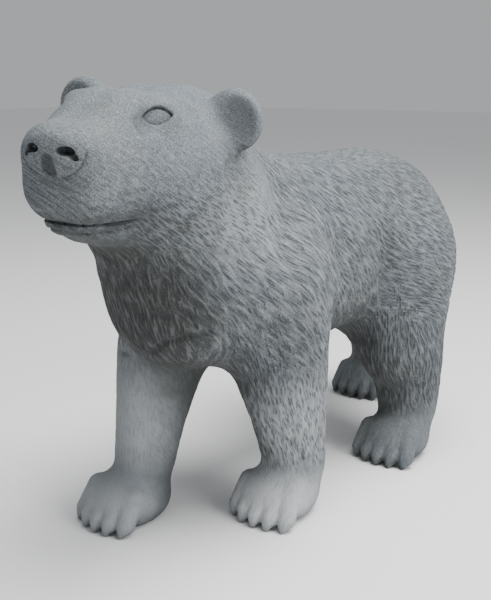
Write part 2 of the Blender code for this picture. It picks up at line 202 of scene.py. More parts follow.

# Grain: its size, the chance that a grain is pale or dark, how strongly, and what painted shade, legs and
# paler patches hide
GRAIN = 0.0013
PALE_CHANCE = (0.55, 0.90)
DARK_CHANCE = (0.60, 0.90)
PALE_SHARE = 0.44
DARK_SHARE = 0.52
SHADE_ON_GRAIN = 0.40
LEG_ON_GRAIN = 0.55
PALE_PATCH_ON_GRAIN = 0.70

# Fine chisel cuts, with painted shade in them and in the stroke recesses, and painted highlight on the
# ridges between them: width and length of their cells, the reach of the polar lie, the cells' shifts, and
# where between a cell's middle and edge a cut ends and a ridge starts
COAT_CUT = (0.0037, 0.026)
FACE_CUT = (0.0034, 0.022)
COMB_REACH = 1.0
SIDE_SHIFT = 0.35
CELL_SHIFTS = (3.3, 5.7, 7.1, 9.4)
CUT_CHANCE = 0.16
CUT_RANGE = (0.44, 0.18)
RIDGE_RANGE = (0.55, 0.80)
RIDGE_SHARE = 0.36
SHADE_ON_RIDGE = 0.20
CUT_SHADE_SHARE = 0.56
RECESS_RANGE = (0.05, 0.75)
RECESS_SHADE_SHARE = 0.25
HOLLOW_SHADE_SHARE = 0.60
CUT_DRIFT_SCALE = 12.0
CUT_DRIFT = 0.010

# Roughness and fine relief of the surface
ROUGHNESS = 0.78
ROUGHER = 0.12
SHEEN_LEVEL = 0.35
SURFACE_RELIEF = 0.00030
GRAIN_RELIEF = 0.00030
CUT_RELIEF = 0.0014

# Floor and light: place, size and power of each lamp
FLOOR_SIZE = 40.0
FLOOR_COLOUR = (0.90, 0.90, 0.90, 1.0)
FLOOR_ROUGHNESS = 0.9
SKY_COLOUR = (0.96, 0.98, 1.0, 1.0)
SKY_STRENGTH = 0.45
LIT_POINT = (0.0, 0.0, 0.4)
OVERHEAD = ((0.8, 0.1, 3.2), 2.4, 182.0)
SIDE = ((3.0, 0.0, 1.9), 1.8, 56.0)

# Camera and its view of the bear, in the maker's frame
CAMERA_AT = (0.959, -1.414, 0.758)
CAMERA_HEADING = 38.0
CAMERA_DIP = 13.7
LENS = 54.0

# Width of the fillet where one mass runs into another, and of the rounding along a cut
BLEND_BODY = 0.08
BLEND_SHOULDER = 0.03
BLEND_NECK = 0.06
BLEND_THROAT = 0.04
BLEND_TAIL = 0.03
BLEND_LEG = 0.06
BLEND_ALONG_LEG = 0.008
BLEND_PAW = 0.025
BLEND_INSTEP = 0.020
BLEND_TOES = 0.007
TOE_GAP = 0.003
BLEND_HEAD = 0.045
BLEND_CHEEK = 0.04
BLEND_SKULL = 0.03
BLEND_LIP = 0.02
BLEND_NOSE = 0.006
BLEND_LIDS = 0.022
BLEND_EAR = 0.010
BLEND_EAR_ROOT = 0.015
FACE_EDGE = 0.036
NOSE_EDGE = 0.010
SOCKET_EDGE = 0.016
EAR_EDGE = 0.007
HOLLOW_EDGE = 0.008
FINE_EDGE = 0.003
LID_EDGE = 0.0012

# Trunk: centre and radii of each ball
RIBS = ((0.0, -0.10, 0.450), (0.148, 0.250, 0.166))
BELLY = ((0.0, 0.07, 0.455), (0.146, 0.240, 0.164))
RUMP = ((0.0, 0.225, 0.440), (0.158, 0.198, 0.174))
SHOULDER = ((0.086, -0.205, 0.455), (0.062, 0.078, 0.120))
WITHERS = ((0.0, -0.19, 0.500), (0.112, 0.150, 0.122))
CHEST = ((0.0, -0.334, 0.450), (0.126, 0.132, 0.138))

# Neck, tail and throat: start, end, radius at the start, radius at the end
NECK = ((0.0, -0.25, 0.50), (0.008, -0.380, 0.614), 0.139, 0.125)
TAIL = ((0.0, 0.365, 0.510), (0.0, 0.408, 0.438), 0.032, 0.019)
THROAT = ((0.0, -0.440, 0.560), (0.0, -0.355, 0.42), 0.088, 0.118)

# Shallow hollows behind the cheek, on the neck and shoulder and before the hip: start, end and radii
HOLLOWS = (
    ((0.1600, -0.391, 0.636), (0.158, -0.385, 0.551), 0.030, 0.030),
    ((0.187, -0.251, 0.621), (0.233, -0.325, 0.490), 0.070, 0.070),
    ((0.235, -0.122, 0.527), (0.240, -0.105, 0.400), 0.090, 0.090),
    ((0.190, 0.036, 0.487), (0.176, 0.056, 0.345), 0.040, 0.036),
)

# Legs: centre and radius at four heights, then the middle of the sole and its turn in degrees
FRONT_LEFT = (
    ((0.088, -0.240, 0.430, 0.104), (0.104, -0.223, 0.290, 0.080),
     (0.103, -0.196, 0.190, 0.064), (0.102, -0.172, 0.085, 0.052)),
    (0.087, -0.202), 0.0,
)
FRONT_RIGHT = (
    ((-0.086, -0.255, 0.430, 0.104), (-0.105, -0.291, 0.290, 0.079),
     (-0.103, -0.325, 0.190, 0.061), (-0.106, -0.347, 0.085, 0.050)),
    (-0.114, -0.384), -3.0,
)
HIND_LEFT = (
    ((0.080, 0.215, 0.400, 0.120), (0.113, 0.171, 0.260, 0.092),
     (0.122, 0.199, 0.185, 0.071), (0.123, 0.213, 0.088, 0.058)),
    (0.124, 0.159), 0.0,
)
HIND_RIGHT = (
    ((-0.080, 0.250, 0.400, 0.118), (-0.108, 0.372, 0.265, 0.081),
     (-0.121, 0.466, 0.185, 0.060), (-0.127, 0.511, 0.085, 0.053)),
    (-0.127, 0.472), 0.0,
)
LEGS = (FRONT_LEFT, FRONT_RIGHT, HIND_LEFT, HIND_RIGHT)
LEG_STEPS = 6
LEG_ROOM = (0.05, 0.21, 0.20)
PAW_ROOM = (0.04, 0.02, 0.15)

# Paws, measured from the middle of the sole
TOES = 5
KNUCKLE_BACK = -0.024
KNUCKLE_HEIGHT = 0.059
TIP_HEIGHT = 0.021
CLAW_FORWARD = (0.008, 0.011)
CLAW_HEIGHTS = (0.0140, 0.0078)
PAD = ((0.0, 0.012, 0.034), (0.062, 0.077, 0.048))
INSTEP = ((0.0, -0.014, 0.046), (0.064, 0.044, 0.042))
KNUCKLE_HALF = 0.046
TIP_HALF = 0.053
TIP_FORWARD = 0.064
TIP_CURVE = 0.014
TOE_RADII = (0.0190, 0.0165)
CLAW_RADII = (0.0100, 0.0068)

# Head, in its own axes: x to its left, y back, z up
HEAD_AT = (0.003, -0.405, 0.690)
HEAD_YAW = 14.3
HEAD_PITCH = -2.0
HEAD_ROLL = 4.0
ROOM_MARGIN = 0.09
HEAD_ROOM = ((0.0, -0.37, 0.66), (0.06, -0.60, 0.66), 0.25, 0.19)
MIDLINE_EASE = 0.010
SKULL = ((0.034, -0.012, -0.033), (0.080, 0.120, 0.092))
FOREHEAD = ((0.022, -0.122, -0.001), (0.056, 0.084, 0.065))
CHEEK = ((0.056, -0.045, -0.078), (0.058, 0.115, 0.064))
MUZZLE = ((0.034, -0.110, -0.030), (0.018, -0.248, -0.019), 0.066, 0.044)
UPPER_LIP = ((0.040, -0.110, -0.056), (0.020, -0.240, -0.062), 0.060, 0.044)
JAW = ((0.036, -0.060, -0.100), (0.017, -0.224, -0.099), 0.056, 0.028)
CHIN = ((0.018, -0.070, -0.115), (0.012, -0.182, -0.110), 0.055, 0.034)
FACE_FRONT = -0.285
FACE_LEAN = 0.10
LEAN_FROM = 0.02
NOSE = ((0.0, -0.252, -0.010), (0.046, 0.040, 0.034))
NOSE_FRONT = -0.2855
MOUTH_HEIGHT = -0.1060
MOUTH_LIFT = 0.05
MOUTH_LIFT_FROM = -0.20
MOUTH_CORNER = -0.164
MOUTH_HALF_GAP = 0.0013
MOUTH_DEPTH = 0.009
NOSTRIL = ((0.0265, -0.279, -0.0050), (0.0105, 0.021, 0.0056))
NOSTRIL_WING = ((0.0330, -0.281, -0.0070), (0.0375, -0.272, -0.0140), 0.0050, 0.0034)
LIP_GROOVE = ((0.0, -0.2895, -0.017), (0.0, -0.2820, -0.036), 0.0100, 0.0110)
PAD_LINE = ((0.0492, -0.2672, -0.0060), (0.0478, -0.2690, -0.0140), (0.0430, -0.2710, -0.0240),
            (0.0330, -0.2730, -0.0330), (0.0190, -0.2736, -0.0400), (0.0, -0.2728, -0.0440))
PAD_LINE_RADIUS = 0.0010
LOWER_LIP = ((0.0, -0.246, -0.1090), (0.0225, -0.243, -0.1090), (0.035, -0.230, -0.1095),
             (0.0505, -0.190, -0.110), (0.0575, -0.171, -0.1085))
LIP_RADIUS = 0.0052
LIP_CREASE = ((0.0, -0.2485, -0.1160), (0.0237, -0.2458, -0.1160), (0.0374, -0.2317, -0.1165),
              (0.0535, -0.1907, -0.1165), (0.0605, -0.1700, -0.1120))
CREASE_RADIUS = 0.0022
EYE_AT = (0.0745, -0.137, 0.032)
EYE_OUT = (0.80, -0.56, 0.20)
EYE_UP = (0.0, -0.1, 1.0)
SOCKET = ((0.076, -0.158, 0.029), (0.017, 0.024, 0.017))
LIDS = ((0.004, -0.0135, 0.001), (0.0340, 0.0160, 0.0225))
EYEBALL = ((0.001, -0.0135, -0.002), (0.0340, 0.0148, 0.0220))
LID_ARC = 0.0290
LID_OFFSET = 0.0170
LID_SLIT_HALF = 0.0013
LID_SLIT_DEPTH = 0.0060
EAR = ((0.127, -0.003, 0.021), (0.045, 0.021, 0.046))
EAR_BOWL = ((0.1395, -0.0275, 0.019), (0.0370, 0.0215, 0.041))
EAR_ROOT = ((0.082, 0.002, 0.006), (0.110, 0.007, 0.016), 0.040, 0.031)


def length(v):
    return np.sqrt((v * v).sum(-1))


def ball(p, mass):
    """Distance from points p to an ellipsoid, near enough close to its surface."""
    centre, radii = np.array(mass)
    q = p - centre
    near = length(q / radii)
    return near * (near - 1.0) / np.maximum(length(q / (radii * radii)), 1e-9)


def limb(p, mass):
    """Distance from points p to a round cone: two spheres and the skin stretched over them."""
    start, end, r0, r1 = mass
    start = np.array(start)
    axis = np.array(end) - start
    squared = axis @ axis
    drop = r0 - r1
    slope = squared - drop * drop
    to_p = p - start
    along = to_p @ axis
    beyond = along - squared
    side = to_p * squared - along[..., None] * axis
    side = (side * side).sum(-1)
    turn = np.sign(drop) * drop * drop * side
    along2 = along * along * squared
    beyond2 = beyond * beyond * squared
    d = (np.sqrt(side * slope / squared) + along * drop) / squared - r0
    d = np.where(np.sign(beyond) * slope * beyond2 > turn, np.sqrt(side + beyond2) / squared - r1, d)
    return np.where(np.sign(along) * slope * along2 < turn, np.sqrt(side + along2) / squared - r0, d)


def track(p, points, radius):
    """Distance to an even roll through the points."""
    d = limb(p, (points[0], points[1], radius, radius))
    for start, end in zip(points[1:], points[2:]):
        d = np.minimum(d, limb(p, (start, end, radius, radius)))
    return d


def join(a, b, k):
    """The two shapes together, with a fillet about as wide as k."""
    h = np.clip(0.5 + 0.5 * (b - a) / k, 0.0, 1.0)
    return b + (a - b) * h - k * h * (1.0 - h)


def cut(a, b, k):
    """Shape a with shape b taken out, the edge rounded over about k."""
    return -join(-a, b, k)


def turned(yaw=0.0, pitch=0.0, roll=0.0):
    """Columns are the left, back and up directions of something turned by these degrees."""
    cy, cp, cr = np.cos(np.radians((yaw, pitch, roll)))
    sy, sp, sr = np.sin(np.radians((yaw, pitch, roll)))
    z = np.array(((cy, -sy, 0), (sy, cy, 0), (0, 0, 1)))
    x = np.array(((1, 0, 0), (0, cp, sp), (0, -sp, cp)))
    y = np.array(((cr, 0, sr), (0, 1, 0), (-sr, 0, cr)))
    return z @ x @ y


HEAD_AXES = turned(HEAD_YAW, HEAD_PITCH, HEAD_ROLL)


def eye_axes():
    out = np.array(EYE_OUT) / np.linalg.norm(EYE_OUT)
    up = np.array(EYE_UP)
    up = up - out * (up @ out)
    up = up / np.linalg.norm(up)
    return np.stack([np.cross(up, out), out, up], 1)


EYE_AXES = eye_axes()


def along_leg(points):
    """A smooth curve of centres and radii through the four given ones."""
    points = np.array(points)
    ends = np.vstack([2 * points[0] - points[1], points, 2 * points[-1] - points[-2]])
    made = []
    for a, b, c, d in zip(ends, ends[1:], ends[2:], ends[3:]):
        for t in np.arange(LEG_STEPS) / LEG_STEPS:
            bend = 2 * a - 5 * b + 4 * c - d
            made.append(0.5 * (2 * b + (c - a) * t + bend * t * t + (3 * b - a - 3 * c + d) * t ** 3))
    made.append(points[-1])
    return made


def leg_limbs(leg):
    path = along_leg(leg[0])
    return [(a[:3], b[:3], a[3], b[3]) for a, b in zip(path, path[1:])]


def leg_room(leg):
    """A plain limb that holds the whole leg and the stone that it still shapes."""
    low, *radii = LEG_ROOM
    return leg[0][0][:3], (*leg[1], low), *radii


def close_to(p, room, shape):
    """The shape's distance where p is inside its room, and a safe distance elsewhere."""
    away = limb(p, room)
    d = np.maximum(away, 0.0) + ROOM_MARGIN
    close = away < 0.0
    if close.any():
        d[close] = shape(p[close])
    return d


def toe_limbs():
    """Each toe and its claw, in the paw's own axes with x outward."""
    made = []
    for t in np.linspace(-1.0, 1.0, TOES):
        tip = -TIP_FORWARD + TIP_CURVE * t * t
        side = TIP_HALF * t
        toe = ((KNUCKLE_HALF * t, KNUCKLE_BACK, KNUCKLE_HEIGHT), (side, tip, TIP_HEIGHT), *TOE_RADII)
        ends = [(side, tip - forward, height) for forward, height in zip(CLAW_FORWARD, CLAW_HEIGHTS)]
        claw = (*ends, *CLAW_RADII)
        made.append((toe, claw))
    return made


def paw(p, leg):
    outward = 1.0 if leg[1][0] > 0 else -1.0
    q = (p - np.array((*leg[1], 0.0))) @ turned(leg[2]) * (outward, 1.0, 1.0)
    d = join(ball(q, PAD), ball(q, INSTEP), BLEND_INSTEP)
    toes = None
    for toe, claw in toe_limbs():
        one = join(limb(q, toe), limb(q, claw), TOE_GAP)
        toes = one if toes is None else join(toes, one, TOE_GAP)
    return join(d, toes, BLEND_TOES)


def whole_leg(p, leg):
    limbs = leg_limbs(leg)
    d = limb(p, limbs[0])
    for each in limbs[1:]:
        d = join(d, limb(p, each), BLEND_ALONG_LEG)
    top, low, radius = PAW_ROOM
    room = ((*leg[1], top), (*leg[1], low), radius, radius)
    return join(d, close_to(p, room, lambda q: paw(q, leg)), BLEND_PAW)


def muzzle(s, m):
    d = join(ball(m, SKULL), ball(m, FOREHEAD), BLEND_SKULL)
    d = join(d, ball(m, CHEEK), BLEND_CHEEK)
    d = join(d, limb(m, MUZZLE), BLEND_SKULL)
    d = join(d, limb(m, UPPER_LIP), BLEND_LIP)
    front = s[..., 1] - FACE_FRONT - FACE_LEAN * (LEAN_FROM - s[..., 2])
    d = cut(d, front, FACE_EDGE)
    nose = cut(ball(s, NOSE), s[..., 1] - NOSE_FRONT, NOSE_EDGE)
    d = join(d, nose, BLEND_NOSE)
    jaw = join(limb(m, JAW), limb(m, CHIN), BLEND_LIP)
    jaw = join(jaw, track(m, LOWER_LIP, LIP_RADIUS), BLEND_NOSE)
    jaw = cut(jaw, track(m, LIP_CREASE, CREASE_RADIUS), FINE_EDGE)
    return join(d, jaw, BLEND_NOSE)


def face_cuts(d, s, m):
    """The mouth, nostrils, the groove in the upper lip and the line round the nose pad."""
    height = MOUTH_HEIGHT + MOUTH_LIFT * np.maximum(MOUTH_LIFT_FROM - s[..., 1], 0.0)
    gap = np.maximum(np.abs(s[..., 2] - height) - MOUTH_HALF_GAP, s[..., 1] - MOUTH_CORNER)
    d = cut(d, np.maximum(gap, -(d + MOUTH_DEPTH)), FINE_EDGE)
    d = cut(d, join(ball(m, NOSTRIL), limb(m, NOSTRIL_WING), FINE_EDGE), FINE_EDGE)
    d = cut(d, limb(s, LIP_GROOVE), FINE_EDGE)
    return cut(d, track(m, PAD_LINE, PAD_LINE_RADIUS), LID_EDGE)


def eyes(d, m):
    """Almond eyes with a nearly flush ball, and a dark slit under the upper lid."""
    d = cut(d, ball(m, SOCKET), SOCKET_EDGE)
    e = (m - np.array(EYE_AT)) @ EYE_AXES
    across = e[..., ::2]
    under_arc = length(across + (0.0, LID_OFFSET)) - LID_ARC
    over_arc = length(across - (0.0, LID_OFFSET)) - LID_ARC
    d = join(d, ball(e, LIDS), BLEND_LIDS)
    opening = np.maximum(np.maximum(under_arc, over_arc), -(e[..., 1] + LID_SLIT_DEPTH))
    d = np.minimum(cut(d, opening, LID_EDGE), ball(e, EYEBALL))
    slit = np.maximum(np.abs(under_arc + LID_SLIT_HALF) - LID_SLIT_HALF, over_arc)
    slit = np.maximum(slit, -(e[..., 1] + LID_SLIT_DEPTH))
    return cut(d, slit, LID_EDGE)


def in_head(p):
    """Points in the head's own axes, then the same with both halves folded onto the left one."""
    s = (p - np.array(HEAD_AT)) @ HEAD_AXES
    return s, np.stack([np.sqrt(s[..., 0] ** 2 + MIDLINE_EASE ** 2), s[..., 1], s[..., 2]], -1)


def head(p):
    s, m = in_head(p)
    return eyes(face_cuts(muzzle(s, m), s, m), m)


def ears(p):
    m = in_head(p)[1]
    return cut(join(ball(m, EAR), limb(m, EAR_ROOT), BLEND_EAR_ROOT), ball(m, EAR_BOWL), EAR_EDGE)


def bear(p):
    """Distance from points p to the whole bear: below zero inside the stone."""
    sides = np.stack([np.abs(p[..., 0]), p[..., 1], p[..., 2]], -1)
    d = ball(p, RIBS)
    for mass in (BELLY, RUMP, WITHERS, CHEST):
        d = join(d, ball(p, mass), BLEND_BODY)
    d = join(d, ball(sides, SHOULDER), BLEND_SHOULDER)
    d = join(d, limb(p, NECK), BLEND_NECK)
    d = join(d, limb(p, THROAT), BLEND_THROAT)
    d = join(d, limb(p, TAIL), BLEND_TAIL)
    for leg in LEGS:
        d = join(d, close_to(p, leg_room(leg), lambda q: whole_leg(q, leg)), BLEND_LEG)
    d = join(d, close_to(p, HEAD_ROOM, head), BLEND_HEAD)
    for hollow in HOLLOWS:
        d = cut(d, limb(sides, hollow), HOLLOW_EDGE)
    d = join(d, close_to(p, HEAD_ROOM, ears), BLEND_EAR)
    return np.maximum(d, -p[..., 2])


def ease(value, low, high):
    """0 below low, 1 above high and smooth between. It also runs downwards when low is above high."""
    t = np.clip((value - low) / (high - low), 0.0, 1.0)
    return t * t * (3.0 - 2.0 * t)


def part_way(a, b, t):
    return a + (b - a) * t[..., None]


def on_head(p):
    """1 on the head and 0 on the trunk."""
    s = in_head(p)[0]
    return ease(s[..., 1], *HEAD_BACK) * ease(s[..., 2], *HEAD_LOW)


def coat_lie(p):
    """The way the coat is combed at p: round a far centre, so back and down, steeper down the legs."""
    flank = np.stack([np.zeros(len(p)), COMB_CENTRE[1] - p[:, 2], p[:, 1] - COMB_CENTRE[0]], axis=-1)
    flank = part_way(flank, np.array(FACE_LIE), on_head(p))
    return part_way(flank, np.array(LEG_LIE), ease(p[:, 2], *LEG_FROM))


def coat_depth(p, normal):
    """How deep the strokes are cut at p: full on the coat, faint on the paws, the brow and the nose."""
    s = in_head(p)[0]
    depth = 1.0 - PAW_SMOOTH * ease(p[..., 2], *PAW_RANGE)
    smooth_leg = ease(-p[..., 0], *SMOOTH_LEG_SIDE) * ease(-p[..., 1], *SMOOTH_LEG_FRONT)
    depth = depth * (1.0 - LEG_SMOOTH * smooth_leg * ease(p[..., 2], *SMOOTH_LEG_TOP))
    depth = depth * (1.0 - UPWARD_SMOOTH * ease(normal[..., 2], *UPWARD))
    depth = depth * (1.0 - DOWNWARD_SMOOTH * ease(-normal[..., 2], *DOWNWARD))
    neck_side = ease(s[..., 1], *NECK_SIDE_FRONT) * ease(s[..., 1], *NECK_SIDE_BACK)
    neck_side = neck_side * ease(s[..., 2], *NECK_SIDE_LOW)
    depth = depth * (1.0 - NECK_SIDE_SMOOTH * neck_side)
    jaw = ease(s[..., 2], *JAW_LOW) * ease(s[..., 1], *JAW_FRONT)
    lip = ease(s[..., 2], *LIP_LOW) * LIP_SHARE
    brow = BROW_SHARE + CHEEK_SHARE * ease(s[..., 2], *CHEEK_LOW)
    face = np.maximum(np.maximum(brow, jaw), lip)
    return depth * (1.0 + on_head(p) * (face - 1.0))


def arrays_of(mesh):
    """Points and their normals, as arrays."""
    points = np.empty(len(mesh.vertices) * 3)
    normals = np.empty(len(mesh.vertices) * 3)
    mesh.vertices.foreach_get("co", points)
    mesh.vertices.foreach_get("normal", normals)
    return points.reshape(-1, 3), normals.reshape(-1, 3)


def put_points(mesh, points):
    mesh.vertices.foreach_set("co", points.ravel())
    mesh.update()


def with_modifier(mesh, kind, **settings):
    """The mesh as one of Blender's modifiers leaves it."""
    helper = bpy.data.objects.new("helper", mesh)
    bpy.context.scene.collection.objects.link(helper)
    modifier = helper.modifiers.new(kind.lower(), kind)
    for name, value in settings.items():
        setattr(modifier, name, value)
    graph = bpy.context.evaluated_depsgraph_get()
    made = bpy.data.meshes.new_from_object(helper.evaluated_get(graph), depsgraph=graph)
    bpy.data.objects.remove(helper, do_unlink=True)
    return made


def refined(mesh, spots):
    """The mesh with its faces split in four near each spot, a centre and a radius."""
    work = bmesh.new()
    work.from_mesh(mesh)
    near = [
        edge for edge in work.edges
        if any((edge.verts[0].co - Vector(centre)).length < radius for centre, radius in spots)
    ]
    bmesh.ops.subdivide_edges(work, edges=near, cuts=1, use_grid_fill=True)
    work.to_mesh(mesh)
    work.free()
    return mesh


def settled(mesh, rounds, eased):
    """Moves the skin along its normals onto the bear's surface, easing it sideways in the first rounds."""
    edges = np.empty(len(mesh.edges) * 2, int)
    mesh.edges.foreach_get("vertices", edges)
    edges = edges.reshape(-1, 2)
    degree = np.bincount(edges.ravel(), minlength=len(mesh.vertices))[:, None]
    for count in range(rounds):
        points, normals = arrays_of(mesh)
        if count < eased:
            total = np.empty_like(points)
            for axis in range(3):
                to_first = np.bincount(edges[:, 0], points[edges[:, 1], axis], len(points))
                to_second = np.bincount(edges[:, 1], points[edges[:, 0], axis], len(points))
                total[:, axis] = to_first + to_second
            points = points + EVENING * (total / degree - points)
        d = np.clip(bear(points + ORIGIN_AT), -VOXEL, VOXEL)
        put_points(mesh, points - HOLD * normals * d[:, None])
    return mesh


def spread_over(points, pitch, random):
    """Indices of points about one pitch apart, all over the skin."""
    order = random.permutation(len(points))
    turned_points = points[order] @ turned(*GRID_TURN)
    cells = np.floor(turned_points / pitch).astype(int)
    _, first = np.unique(cells, axis=0, return_index=True)
    return order[np.sort(first)]


def stroke_marks(tree, points, normals, chosen, size, random):
    """The depth at every point of one set of strokes, laid along the coat."""
    half_length, half_width, depth = size
    here = points[chosen] + ORIGIN_AT
    normal = normals[chosen]
    lie = coat_lie(here)
    lie = lie - normal * (lie * normal).sum(-1)[:, None]
    lie = lie / np.maximum(length(lie), 1e-6)[:, None]
    side = np.cross(normal, lie)
    angle = random.normal(0.0, STROKE_WANDER, len(chosen))[:, None]
    lie, side = lie * np.cos(angle) + side * np.sin(angle), side * np.cos(angle) - lie * np.sin(angle)
    scale = random.uniform(*STROKE_SCALES, (len(chosen), 3))
    cut_to = depth * scale[:, 2] * coat_depth(here, normal)
    marks = np.zeros(len(points))
    for index, each in enumerate(chosen):
        if cut_to[index] < LEAST_CUT:
            continue
        long, wide = half_length * scale[index, 0], half_width * scale[index, 1]
        found = np.array([hit[1] for hit in tree.find_range(points[each], long)])
        away = points[found] - points[each]
        along = away @ lie[index] / long
        across = away @ side[index] / wide
        shape = np.clip(1.0 - across * across, 0.0, 1.0) * np.clip(1.0 - along * along, 0.0, 1.0)
        shape = shape * (1.0 - STROKE_TAPER * along)
        marks[found] = np.maximum(marks[found], cut_to[index] * shape)
    return marks


def keep_on(mesh, name, values):
    """Keeps one number for each point on the mesh, under a name that the material reads."""
    mesh.attributes.new(name, "FLOAT", "POINT").data.foreach_set("value", values)


def hidden_sky_shade(points):
    """Painted shade by how far each point is kept from the open sky: 0 in the open and 1 deep under the body.
    """
    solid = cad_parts["bear"].data
    spots, outward = arrays_of(solid)
    corners = [spot.co for spot in solid.vertices]
    tree = BVHTree.FromPolygons(corners, [face.vertices for face in solid.polygons])
    turn = np.pi * (1.0 + 5.0 ** 0.5) * np.arange(SKY_RAYS)
    rise = np.sqrt(1.0 - (np.arange(SKY_RAYS) + 0.5) / SKY_RAYS)
    flat = np.sqrt(1.0 - rise * rise)
    sky = np.stack([flat * np.cos(turn), flat * np.sin(turn), rise], axis=-1)
    open_sky = np.zeros(len(spots))
    for index, (spot, way) in enumerate(zip(spots, outward)):
        start = Vector(spot + way * SKY_START)
        for ray in sky[sky @ way > 0.0]:
            if tree.ray_cast(start, Vector(ray))[0] is None:
                open_sky[index] += 1.0 / SKY_RAYS
    near = KDTree(len(spots))
    for index, spot in enumerate(spots):
        near.insert(spot, index)
    near.balance()
    seen = np.array([
        np.mean([open_sky[hit[1]] for hit in near.find_n(point, SKY_SPREAD)]) for point in points
    ])
    return ease(seen, OPEN_SKY, NO_SKY)


def patches(p, masses):
    """Each patch's strength inside it, fading to 0 outside."""
    inside = np.zeros(len(p))
    for centre, radii, strength in masses:
        inside = np.maximum(inside, strength * ease(ball(p, (centre, radii)), PATCH_FADE, -PATCH_FADE))
    return inside


def folds(p):
    """How far each point lies in the soft folds of the coat, 1 along their middle."""
    away = np.min([track(p, line, 0.0) for line in FOLDS], axis=0)
    return ease(away, FOLD[0], FOLD_FLAT * FOLD[0])


def under_eyes(p):
    """How far each point lies in the fine line cut along the lower edge of the eyes."""
    e = (in_head(p)[1] - np.array(EYE_AT)) @ EYE_AXES
    across = e[..., ::2]
    lower_edge = length(across - (0.0, LID_OFFSET)) - LID_ARC
    inside = ease(length(across + (0.0, LID_OFFSET)) - LID_ARC, 0.0, -LID_FADE)
    line = ease(np.abs(lower_edge + LID_LINE), 2.0 * LID_LINE, 0.5 * LID_LINE)
    return line * inside * ease(np.abs(e[..., 1]), *EYE_RANGE)


def carved_skin():
    """The bear's skin at full relief, with how deep each point is cut kept on it."""
    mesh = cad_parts["bear"].data.copy()
    mesh = with_modifier(mesh, "REMESH", mode="VOXEL", voxel_size=VOXEL)
    at_eyes = [(np.array(EYE_AT) * (side, 1.0, 1.0), FINE_ROUND_EYES) for side in (1.0, -1.0)]
    muzzle_end = ((0.0, FACE_FRONT, MUZZLE_END_HEIGHT), FINE_ROUND_MUZZLE)
    lips = ((0.0, FACE_FRONT + LIPS_BACK, MOUTH_HEIGHT), FINE_ROUND_LIPS)
    spots = [
        (HEAD_AXES @ np.array(spot) + HEAD_AT - ORIGIN_AT, reach)
        for spot, reach in (*at_eyes, muzzle_end, lips)
    ]
    mesh = refined(settled(mesh, *FIRST_ROUNDS), spots)
    mesh = settled(mesh, *LAST_ROUNDS)
    points, normals = arrays_of(mesh)
    random = np.random.default_rng(STROKE_SEED)
    tree = KDTree(len(points))
    for index, point in enumerate(points):
        tree.insert(point, index)
    tree.balance()
    coat = spread_over(points, STROKE_PITCH, random)
    coat = coat[on_head(points[coat] + ORIGIN_AT) < COAT_UP_TO]
    face = spread_over(points, FACE_PITCH, random)
    face = face[on_head(points[face] + ORIGIN_AT) > FACE_FROM]
    dents = spread_over(points, DENT_PITCH, random)
    marks = stroke_marks(tree, points, normals, coat, COAT_STROKE, random)
    marks = np.maximum(marks, stroke_marks(tree, points, normals, face, FACE_STROKE, random))
    hollows = stroke_marks(tree, points, normals, dents, DENT, random)
    hollows = hollows + LID_LINE * under_eyes(points + ORIGIN_AT) + FOLD[1] * folds(points + ORIGIN_AT)
    standing = ease(points[:, 2], *SOLE_RANGE)
    put_points(mesh, points - normals * ((marks + hollows) * standing)[:, None])
    # How deep each stroke is cut, which the material darkens as painted shade
    keep_on(mesh, "recess", marks / COAT_STROKE[2])
    faces = sum(len(face.vertices) - 2 for face in mesh.polygons)
    mesh = with_modifier(mesh, "DECIMATE", ratio=min(1.0, TRIANGLES / faces))
    return mesh


def lies_and_tones(mesh):
    """Keeps on the skin how each point is combed and lies, its painted shade where the sky is hidden, in
    darker patches and in hollows, and its paler patches.
    """
    points, normals = arrays_of(mesh)
    here = points + ORIGIN_AT
    keep_on(mesh, "coat", coat_depth(here, normals))
    keep_on(mesh, "upright", ease(here[:, 2], *LEG_FROM))
    keep_on(mesh, "facing", ease(np.abs(normals[:, 1]) - np.abs(normals[:, 0]), *FACING_RANGE))
    keep_on(mesh, "lying", ease(normals[:, 2], *LYING_RANGE))
    keep_on(mesh, "face", on_head(here))
    pale_patched = patches(here, PALE_PATCHES)
    # Painted shade where the body hides the sky, less on the paler patches
    shade_from_sky = HIDDEN_SKY_SHADE * hidden_sky_shade(points) * (1.0 - pale_patched)
    keep_on(mesh, "pale_patched", pale_patched)
    keep_on(mesh, "painted_shade", np.maximum(shade_from_sky, patches(here, SHADE_PATCHES)))
    s, m = in_head(here)
    # Painted shade in the muzzle's own hollows, in the line under the eyes and in the folds
    hollow_shade = ease(-muzzle(s, m), *SUNK) * ease(s[:, 1], SUNK_TO + SUNK_FADE, SUNK_TO)
    fine_lines = np.maximum(EYE_LINE_SHADE * under_eyes(here), FOLD_SHADE * folds(here))
    keep_on(mesh, "hollow_shade", np.maximum(hollow_shade, fine_lines))
    return mesh


class Shade:
    """A shader socket that adds, multiplies and compares like a number."""

    def __init__(self, board, socket):
        self.board = board
        self.socket = socket

    def math(self, operation, *others):
        return self.board.node("ShaderNodeMath", {"operation": operation}, self, *others)

    def __add__(self, other):
        return self.math("ADD", other)

    def __radd__(self, other):
        return self.math("ADD", other)

    def __sub__(self, other):
        return self.math("SUBTRACT", other)

    def __rsub__(self, other):
        return self.board.node("ShaderNodeMath", {"operation": "SUBTRACT"}, other, self)

    def __mul__(self, other):
        return self.math("MULTIPLY", other)

    def __rmul__(self, other):
        return self.math("MULTIPLY", other)

    def other(self, output):
        """Another output of the same node."""
        return Shade(self.board, self.socket.node.outputs[output])

    def between(self, low, high):
        """0 at low, 1 at high and smooth between."""
        settings = {"interpolation_type": "SMOOTHSTEP"}
        ends = {"From Min": low, "From Max": high}
        return self.board.node("ShaderNodeMapRange", settings, Value=self, **ends)


